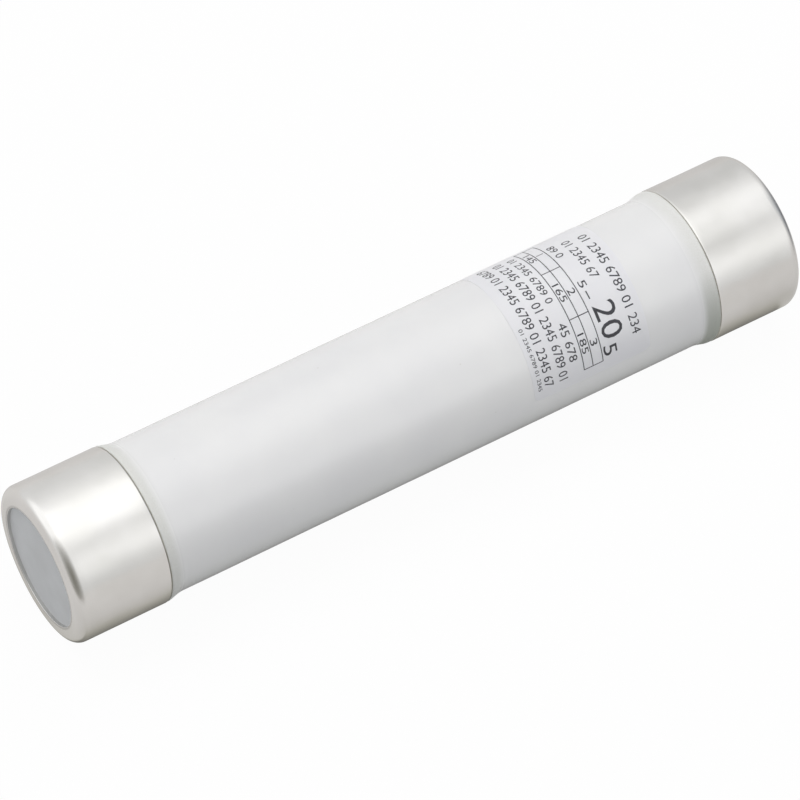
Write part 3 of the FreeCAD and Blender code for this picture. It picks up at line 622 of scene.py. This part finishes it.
def makeSpring():
    headAt = edgeOf("striker_pin", 0) + pin["tailLength"]
    floorAt = headAt - spring["packed"]
    inset = spring["endGap"] + spring["wireRadius"]
    first, last = floorAt + inset, headAt - inset
    steps = spring["turns"] * spring["turnSteps"]
    build = bmesh.new()
    rings = []
    for step in range(steps + 1):
        angle = 2 * math.pi * spring["turns"] * step / steps
        middle = first + (last - first) * step / steps
        ring = []
        for side in range(spring["wireSides"]):
            turn = 2 * math.pi * side / spring["wireSides"]
            along = middle + spring["wireRadius"] * math.cos(turn)
            reach = spring["coilRadius"] + spring["wireRadius"] * math.sin(turn)
            ring.append(build.verts.new(inMetres((along, reach * math.cos(angle), reach * math.sin(angle)))))
        rings.append(ring)
    for ring, following in zip(rings, rings[1:]):
        for side in range(len(ring)):
            after = (side + 1) % len(ring)
            build.faces.new((ring[side], ring[after], following[after], following[side]))
    build.faces.new(rings[0])
    build.faces.new(rings[-1])
    piece = finishPiece("strikerSpring", build, "drawnSpringWire", 60)
    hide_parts("striker_spring")
    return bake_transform(piece)


strikerPieces = [makePin(), makeSpring()]
print("striker made,", len(strikerPieces), "pieces")

# Label: a thin film wrapped part of the way round the barrel, with a ruled table and plain numbers
label = {
    "from": 26.9, "to": 63.5, "startAngle": 38.0, "endAngle": 176.0,
    "radius": tube["barrelRadius"], "thickness": 0.1, "cornerRadius": 2.0, "inkThickness": 0.02,
}


def onBarrel(along, angle, reach):
    turn = math.radians(angle)
    return inMetres((along, reach * math.cos(turn), reach * math.sin(turn)))


def curvedPatch(build, rows, thickness, base, columnAngle=1.5):
    # closed thin solid that follows the barrel; rows are (place along X, start angle, end angle)
    widest = max(end - start for _, start, end in rows)
    columns = max(1, math.ceil(widest / columnAngle))
    layers = []
    for reach in (base, base + thickness):
        grid = []
        for along, start, end in rows:
            grid.append([build.verts.new(onBarrel(along, start + (end - start) * c / columns, reach))
                         for c in range(columns + 1)])
        layers.append(grid)
    low, high = layers
    for grid in layers:
        for r in range(len(rows) - 1):
            for c in range(columns):
                build.faces.new((grid[r][c], grid[r][c + 1], grid[r + 1][c + 1], grid[r + 1][c]))
    last = len(rows) - 1
    border = [(0, c) for c in range(columns)] + [(r, columns) for r in range(last)]
    border += [(last, c) for c in range(columns, 0, -1)] + [(r, 0) for r in range(last, 0, -1)]
    for (r1, c1), (r2, c2) in zip(border, border[1:] + border[:1]):
        build.faces.new((low[r1][c1], low[r2][c2], high[r2][c2], high[r1][c1]))


def makeLabelFilmPiece():
    corner, radius, start = label["cornerRadius"], label["radius"], label["from"]
    places = [start + corner * (1 - math.cos(math.radians(15 * step))) for step in range(7)]
    places += [label["to"] - (spot - start) for spot in reversed(places)]
    rows = []
    for spot in places:
        inwards = min(spot - start, label["to"] - spot, corner)
        inset = math.degrees((corner - math.sqrt(corner ** 2 - (corner - inwards) ** 2)) / radius)
        rows.append((spot, label["startAngle"] + inset, label["endAngle"] - inset))
    build = bmesh.new()
    curvedPatch(build, rows, label["thickness"], radius)
    piece = finishPiece("labelFilm", build, "polyesterFilm")
    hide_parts("rating_label")
    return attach(piece, "fuse_link")


# Printing: places along X and angles round the barrel; the rules across are a little thinner in ink
table = {
    "columns": (42.6, 45.4, 48.6), "span": (47, 167), "dividers": (87, 127), "line": 0.25,
    "dash": (50.4, 50.75, 113.0, 119.5), "thinner": 0.9,
}
numberRows = [
    # plain numbers, place of their foot, start and end angle, height
    ("01 2345 6789 01 234", 58.7, 66.0, 157.0, 2.7),
    ("01 2345 67", 53.9, 64.0, 107.0, 2.6),
    ("89 0", 49.7, 62.0, 79.0, 2.3),
    ("5", 49.7, 104.5, 110.0, 2.2),
    ("20", 50.0, 125.0, 152.0, 6.4),
    ("5", 49.2, 156.0, 164.5, 4.1),
    ("1", 45.9, 65.9, 66.6, 2.1),
    ("2", 45.9, 106.5, 111.5, 2.2),
    ("3", 45.9, 146.5, 151.5, 2.2),
    ("145", 43.0, 59.0, 72.0, 2.0),
    ("165", 43.0, 99.0, 113.5, 2.0),
    ("185", 43.0, 139.0, 154.5, 2.0),
    ("01 2345 6789 0", 39.0, 53.0, 110.0, 2.2),
    ("45 678", 38.8, 126.5, 156.0, 2.5),
    ("01 2345 6789 01 2345 6789 01", 34.8, 51.0, 167.0, 2.7),
    ("6789 01 2345 6789 01 2345 67", 30.3, 48.5, 167.0, 2.7),
    ("01 2345 6789 01 2345", 28.2, 118.0, 167.5, 1.15),
]
stripWidth = 0.8


def addNumbers(build, words, foot, startAngle, endAngle, height):
    # plain digits from a text curve, stretched to their span and bent round the barrel
    curve = bpy.data.curves.new("digits", "FONT")
    curve.body = words
    curve.resolution_u = 3
    source = newObject("digits", curve)
    bpy.context.view_layer.update()
    flat = bpy.data.meshes.new_from_object(source.evaluated_get(bpy.context.evaluated_depsgraph_get()))
    sheet = bmesh.new()
    sheet.from_mesh(flat)
    base = label["radius"] + label["thickness"]
    span = math.radians(endAngle - startAngle) * base
    highest = max(vert.co.y for vert in sheet.verts)
    leftmost = min(vert.co.x for vert in sheet.verts)
    widest = max(vert.co.x for vert in sheet.verts) - leftmost
    for vert in sheet.verts:
        vert.co = ((vert.co.x - leftmost) * span / widest, vert.co.y * height / highest, 0)
    # cut into narrow strips, so that the flat faces follow the curve of the barrel
    for cut in range(1, math.ceil(span / stripWidth)):
        everything = sheet.verts[:] + sheet.edges[:] + sheet.faces[:]
        bmesh.ops.bisect_plane(sheet, geom=everything, plane_co=(cut * stripWidth, 0, 0), plane_no=(1, 0, 0))
    layers = []
    for reach in (base, base + label["inkThickness"]):
        layer = {}
        for vert in sheet.verts:
            angle = startAngle + math.degrees(vert.co.x / base)
            layer[vert] = build.verts.new(onBarrel(foot + vert.co.y, angle, reach))
        layers.append(layer)
    for face in sheet.faces:
        for layer in layers:
            build.faces.new([layer[vert] for vert in face.verts])
    low, high = layers
    for edge in sheet.edges:
        if edge.is_boundary:
            a, b = edge.verts
            build.faces.new((low[a], low[b], high[b], high[a]))
    sheet.free()
    bpy.data.objects.remove(source)
    bpy.data.meshes.remove(flat)
    bpy.data.curves.remove(curve)


def makePrinting():
    build = bmesh.new()
    base, ink = label["radius"] + label["thickness"], label["inkThickness"]
    half = table["line"] / 2
    halfAngle = math.degrees(half / label["radius"])
    first, last = table["columns"][0], table["columns"][-1]
    for column in table["columns"]:
        curvedPatch(build, [(spot, *table["span"]) for spot in (column - half, column + half)], ink, base)
    for angle in (*table["span"], *table["dividers"]):
        rows = [(spot, angle - halfAngle, angle + halfAngle) for spot in (first, last)]
        curvedPatch(build, rows, ink * table["thinner"], base)
    dashLow, dashHigh, *dashSpan = table["dash"]
    curvedPatch(build, [(spot, *dashSpan) for spot in (dashLow, dashHigh)], ink, base)
    for row in numberRows:
        addNumbers(build, *row)
    piece = finishPiece("labelPrinting", build, "printingInk")
    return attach(piece, "fuse_link")


labelPieces = [makeLabelFilmPiece(), makePrinting()]
print("label made,", len(labelPieces), "pieces")

# Floor: pale and matt; the camera, metal and glass see it nearly white, with the shadow kept. In the
# gloss it carries a painted shadow that darkens and warms towards the fuse, less past the ends than
# along the sides, and is a little lower behind. The lists give grey levels of that painted shadow by the
# distance from the middle line, by the distance from the middle of the length, and behind.
floor = {
    "size": 6.0, "seen": "#F8F8F8", "bounce": "#93979A", "whiteShare": 0.96, "far": "#FFFCFA",
    "near": "#FFFCF0",
    "beside": [(0.0, 0.10), (14.5, 0.20), (20.0, 0.36), (25.0, 0.56), (31.0, 0.75), (38.0, 0.82),
               (48.5, 0.88), (66.5, 0.92), (109.5, 0.94), (292.5, 0.96)],
    "pastEnd": [(111.0, 0.0), (113.5, 0.74), (123.0, 0.82), (133.0, 0.86), (160.0, 0.91), (400.0, 0.96)],
    "behind": [(-40.0, 1.0), (25.0, 0.79), (60.0, 0.80), (110.0, 0.88), (220.0, 0.97), (360.0, 1.0)],
    "behindFrom": (-120.0, -105.0), "warm": (0.84, 0.55), "fade": (50.0, 200.0), "fadeLevel": 0.93,
}
# corners of a square, in order round it
square = ((-1, -1), (1, -1), (1, 1), (-1, 1))


def seenRays(tree):
    # the kinds of ray, and 1 for what the camera sees straight, mirrored or through glass
    rays = addNode(tree, "ShaderNodeLightPath", {}).outputs
    direct = calculate(tree, "ADD", rays["Is Camera Ray"], rays["Is Glossy Ray"])
    return rays, calculate(tree, "ADD", direct, rays["Is Transmission Ray"], clamp=True)


def levelsAlong(tree, source, levels):
    # grey levels at given places in mm, read at a place in metres
    first, last = levels[0][0], levels[-1][0]
    along = mapped(tree, source, first * mm, last * mm)
    return ramped(tree, along, [((spot - first) / (last - first), level) for spot, level in levels])


def mixSurface(tree, share, first, second):
    mix = addNode(tree, "ShaderNodeMixShader", {0: share, 1: first.outputs[0], 2: second.outputs[0]})
    setSurface(tree, mix)


def sheetObject(name, corners, faces, material):
    mesh = bpy.data.meshes.new(name)
    mesh.from_pydata(corners, [], faces)
    mesh.materials.append(material)
    return newObject(name, mesh)


def makeFloor():
    material, tree, place = emptyMaterial("studioFloor")
    rays, seen = seenRays(tree)
    glossy = rays["Is Glossy Ray"]
    sides = addNode(tree, "ShaderNodeSeparateXYZ", {"Vector": place}).outputs
    # painted shadow seen only in the gloss: grey levels towards the fuse
    beside = levelsAlong(tree, calculate(tree, "ABSOLUTE", sides["Y"]), floor["beside"])
    pastEnd = levelsAlong(tree, calculate(tree, "ABSOLUTE", sides["X"]), floor["pastEnd"])
    level = calculate(tree, "MAXIMUM", beside, pastEnd)
    behindLevel = levelsAlong(tree, sides["Y"], floor["behind"])
    behind = mapped(tree, sides["X"], *inMetres(floor["behindFrom"]), 1.0, behindLevel)
    fade = mapped(tree, sides["X"], *inMetres(floor["fade"]), 1.0, floor["fadeLevel"], smooth=True)
    shade = calculate(tree, "MULTIPLY", calculate(tree, "MULTIPLY", level, fade), behind)
    warm = calculate(tree, "MULTIPLY", mapped(tree, level, *floor["warm"]), glossy)
    tone = mixed(tree, rays["Is Diffuse Ray"], floor["seen"], floor["bounce"])
    matt = addNode(tree, "ShaderNodeBsdfDiffuse", {"Color": tone})
    white = addNode(tree, "ShaderNodeEmission", {
        "Color": mixed(tree, warm, mixed(tree, glossy, "#FFFFFF", floor["far"]), floor["near"]),
        "Strength": mapped(tree, glossy, 0.0, 1.0, 1.0, shade),
    })
    mixSurface(tree, calculate(tree, "MULTIPLY", seen, floor["whiteShare"]), matt, white)
    half = floor["size"] / 2
    height = -(cap["radius"] + cap["wander"]) * mm
    corners = [(half * across, half * along, height) for across, along in square]
    sheetObject("studioFloor", corners, [(0, 1, 2, 3)], material)


# World: the same white as the floor for the camera, metal and glass, and a lower fill on matt surfaces
fill = {"matt": 0.35, "seen": 1.0}


def makeWorld():
    world = bpy.data.worlds.new("studioWorld")
    bpy.context.scene.world = world
    world.use_nodes = True
    tree = world.node_tree
    tree.nodes.clear()
    _, seen = seenRays(tree)
    strength = mapped(tree, seen, 0.0, 1.0, fill["matt"], fill["seen"])
    light = addNode(tree, "ShaderNodeBackground", {"Color": (1, 1, 1, 1), "Strength": strength})
    addNode(tree, "ShaderNodeOutputWorld", {"Surface": light.outputs[0]})


# Reflector tent: an arch of white cloth that only the gloss sees. Its levels run round the fuse from +Y over
# the top to -Y, as (angle, level over the left half, level over the right half).
tent = {
    "radius": 900.0, "from": -1.4, "to": 181.4, "left": -1000.0, "right": 1500.0, "glow": 1.8, "steps": 48,
    "levels": [(0, 0.94, 0.88), (19, 1.00, 0.88), (31, 1.07, 0.91), (43, 1.19, 1.02), (55, 1.39, 1.13),
               (67, 1.72, 1.38), (79, 1.76, 1.45), (91, 1.76, 1.45), (103, 1.72, 1.35), (110, 1.50, 1.20),
               (121, 1.18, 1.03), (133, 1.31, 1.22), (145, 1.48, 1.42), (155, 1.40, 1.38), (163, 1.20, 1.20),
               (172, 1.00, 1.02), (180, 0.93, 0.93)],
    "fade": (200.0, 420.0),
}


def hideFromMatt(piece):
    for rays in ("camera", "diffuse", "transmission", "volume_scatter", "shadow"):
        setattr(piece, f"visible_{rays}", False)


def makeTent():
    material, tree, place = emptyMaterial("tentCloth")
    sides = addNode(tree, "ShaderNodeSeparateXYZ", {"Vector": place}).outputs
    angle = calculate(tree, "ARCTAN2", sides["Z"], sides["Y"])
    turn = mapped(tree, angle, 0.0, math.radians(tent["to"]))
    halves = []
    for half in (1, 2):
        stops = [(stop[0] / tent["to"], stop[half] / tent["glow"]) for stop in tent["levels"]]
        halves.append(ramped(tree, turn, stops))
    fade = mapped(tree, sides["X"], *inMetres(tent["fade"]), smooth=True)
    level = mixed(tree, fade, *halves)
    setSurface(tree, addNode(tree, "ShaderNodeEmission", {"Strength": tent["glow"], "Color": level}))
    corners = []
    for step in range(tent["steps"] + 1):
        turn = math.radians(tent["from"] + (tent["to"] - tent["from"]) * step / tent["steps"])
        for along in (tent["left"], tent["right"]):
            spot = (along, tent["radius"] * math.cos(turn), tent["radius"] * math.sin(turn))
            corners.append(inMetres(spot))
    faces = [(first, first + 1, first + 3, first + 2) for first in range(0, 2 * tent["steps"], 2)]
    piece = sheetObject("tentCloth", corners, faces, material)
    hideFromMatt(piece)


# Cards that only the gloss sees: soft ellipses that face one end of the fuse and show in its cap's rounding
cards = {
    # white reflector behind the left end: the bright crest of that rounding
    "whiteCard": {
        "spot": (-112.0, 0.0, 10.0), "azimuth": 145.5, "elevation": 44.5, "distance": 420.0, "width": 760.0,
        "height": 700.0, "core": 0.5, "glow": 1.52, "colour": "#FFFFFF",
    },
    # dark shape in front of the left end, where the camera stands: the dark streak lower in the rounding
    "darkShape": {
        "spot": (-111.0, -8.0, 8.0), "azimuth": -128.0, "elevation": 16.0, "distance": 110.0, "width": 336.0,
        "height": 380.0, "core": 0.0, "glow": 1.0, "colour": "#8F8D84",
    },
    # side of the room past the right end, duller and a little blue, and below it a painted shadow of the fuse
    # on the floor
    "roomSide": {
        "spot": (111.0, -4.0, 8.0), "azimuth": -6.0, "elevation": 22.0, "distance": 363.0, "width": 348.0,
        "height": 910.0, "core": 0.0, "glow": 1.0, "colour": "#DDE0E4",
    },
    # painted shadow: dark card for the fuse's shadow on the floor past the right end, seen in that cap's
    # rounding
    "paintedFloorShadow": {
        "spot": (111.0, -4.0, 8.0), "azimuth": 5.0, "elevation": -32.5, "distance": 89.0, "width": 162.0,
        "height": 386.0, "core": 0.09, "glow": 1.0, "colour": "#7B8089",
    },
}


def makeCard(name, settings):
    material, tree, place = emptyMaterial(name)
    halfWidth, halfHeight = settings["width"] / 2 * mm, settings["height"] / 2 * mm
    flat = addNode(tree, "ShaderNodeMapping", {"Scale": (1 / halfWidth, 0, 1 / halfHeight), "Vector": place})
    away = addNode(tree, "ShaderNodeVectorMath", {"operation": "LENGTH", 0: flat.outputs[0]})
    share = mapped(tree, away.outputs["Value"], settings["core"], 1.0, 1.0, 0.0, smooth=True)
    glow = addNode(tree, "ShaderNodeEmission", {
        "Color": hexColour(settings["colour"]), "Strength": settings["glow"],
    })
    mixSurface(tree, share, addNode(tree, "ShaderNodeBsdfTransparent", {}), glow)
    corners = [(halfWidth * across, 0, halfHeight * up) for across, up in square]
    piece = sheetObject(name, corners, [(0, 1, 2, 3)], material)
    turn, rise = math.radians(settings["azimuth"]), math.radians(settings["elevation"])
    outwards = Vector((math.cos(turn) * math.cos(rise), math.sin(turn) * math.cos(rise), math.sin(rise)))
    spot = Vector(settings["spot"]) * mm + outwards * settings["distance"] * mm
    tilt = Matrix.Rotation(turn - math.pi / 2, 4, "Z") @ Matrix.Rotation(rise, 4, "X")
    piece.matrix_world = Matrix.Translation(spot) @ tilt
    hideFromMatt(piece)


# Lamps for the matt surfaces: towards gives the side that each one stands on, seen from the middle
lampDistance = 0.9
lamps = {
    "overhead": {"towards": (0.0, 0.31, 0.95), "length": 1.2, "width": 0.6, "radiance": 1.9},
    "frontLow": {"towards": (0.34, -0.88, 0.32), "length": 1.0, "width": 0.3, "radiance": 1.9},
    "backLow": {"towards": (0.0, 0.99, 0.14), "length": 1.0, "width": 0.24, "radiance": 2.2},
    "leftEnd": {"towards": (-0.97, -0.15, 0.2), "length": 0.6, "width": 0.6, "radiance": 1.6},
    "rightEnd": {"towards": (0.97, -0.15, 0.2), "length": 0.6, "width": 0.6, "radiance": 1.6},
}


def makeLamp(name, settings):
    lamp = bpy.data.lights.new(name, "AREA")
    lamp.shape = "RECTANGLE"
    lamp.size = settings["length"]
    lamp.size_y = settings["width"]
    lamp.energy = settings["radiance"] * math.pi * settings["length"] * settings["width"]
    # the lamp shines along its own -Z, and its length lies along X where it can
    back = Vector(settings["towards"]).normalized()
    lengthwise = Vector((0, 1, 0)) if abs(back.x) > 0.7 else Vector((1, 0, 0))
    lengthwise = (lengthwise - back * lengthwise.dot(back)).normalized()
    turned = Matrix((lengthwise, back.cross(lengthwise), back)).transposed()
    piece = newObject(name, lamp)
    piece.matrix_world = Matrix.Translation(back * lampDistance) @ turned.to_4x4()
    piece.visible_glossy = False


makeFloor()
makeWorld()
makeTent()
for cardName, cardSettings in cards.items():
    makeCard(cardName, cardSettings)
for lampName, lampSettings in lamps.items():
    makeLamp(lampName, lampSettings)
print("stage and lights made")

# Camera at the photograph's angle
view = {
    "azimuth": -31.43, "elevation": 50.69, "distance": 1.391, "lens": 234.06, "sensor": 36.0,
    "shiftRight": -1.93, "shiftUp": -1.68, "nearest": 0.05,
}


def makeCamera():
    azimuth, elevation = math.radians(view["azimuth"]), math.radians(view["elevation"])
    east, north = math.sin(azimuth), math.cos(azimuth)
    level, rise = math.cos(elevation), math.sin(elevation)
    back = Vector((east * level, -north * level, rise))
    up = Vector((-east * rise, north * rise, level))
    right = up.cross(back)
    aim = (right * view["shiftRight"] + up * view["shiftUp"]) * mm
    cameraData = bpy.data.cameras.new("photoCamera")
    cameraData.lens = view["lens"]
    cameraData.sensor_width = view["sensor"]
    cameraData.clip_start = view["nearest"]
    camera = newObject("photoCamera", cameraData)
    turned = Matrix((right, up, back)).transposed()
    camera.matrix_world = Matrix.Translation(aim + back * view["distance"]) @ turned.to_4x4()
    bpy.context.scene.camera = camera


makeCamera()
bpy.context.scene.view_settings.view_transform = "Standard"
print("camera made")
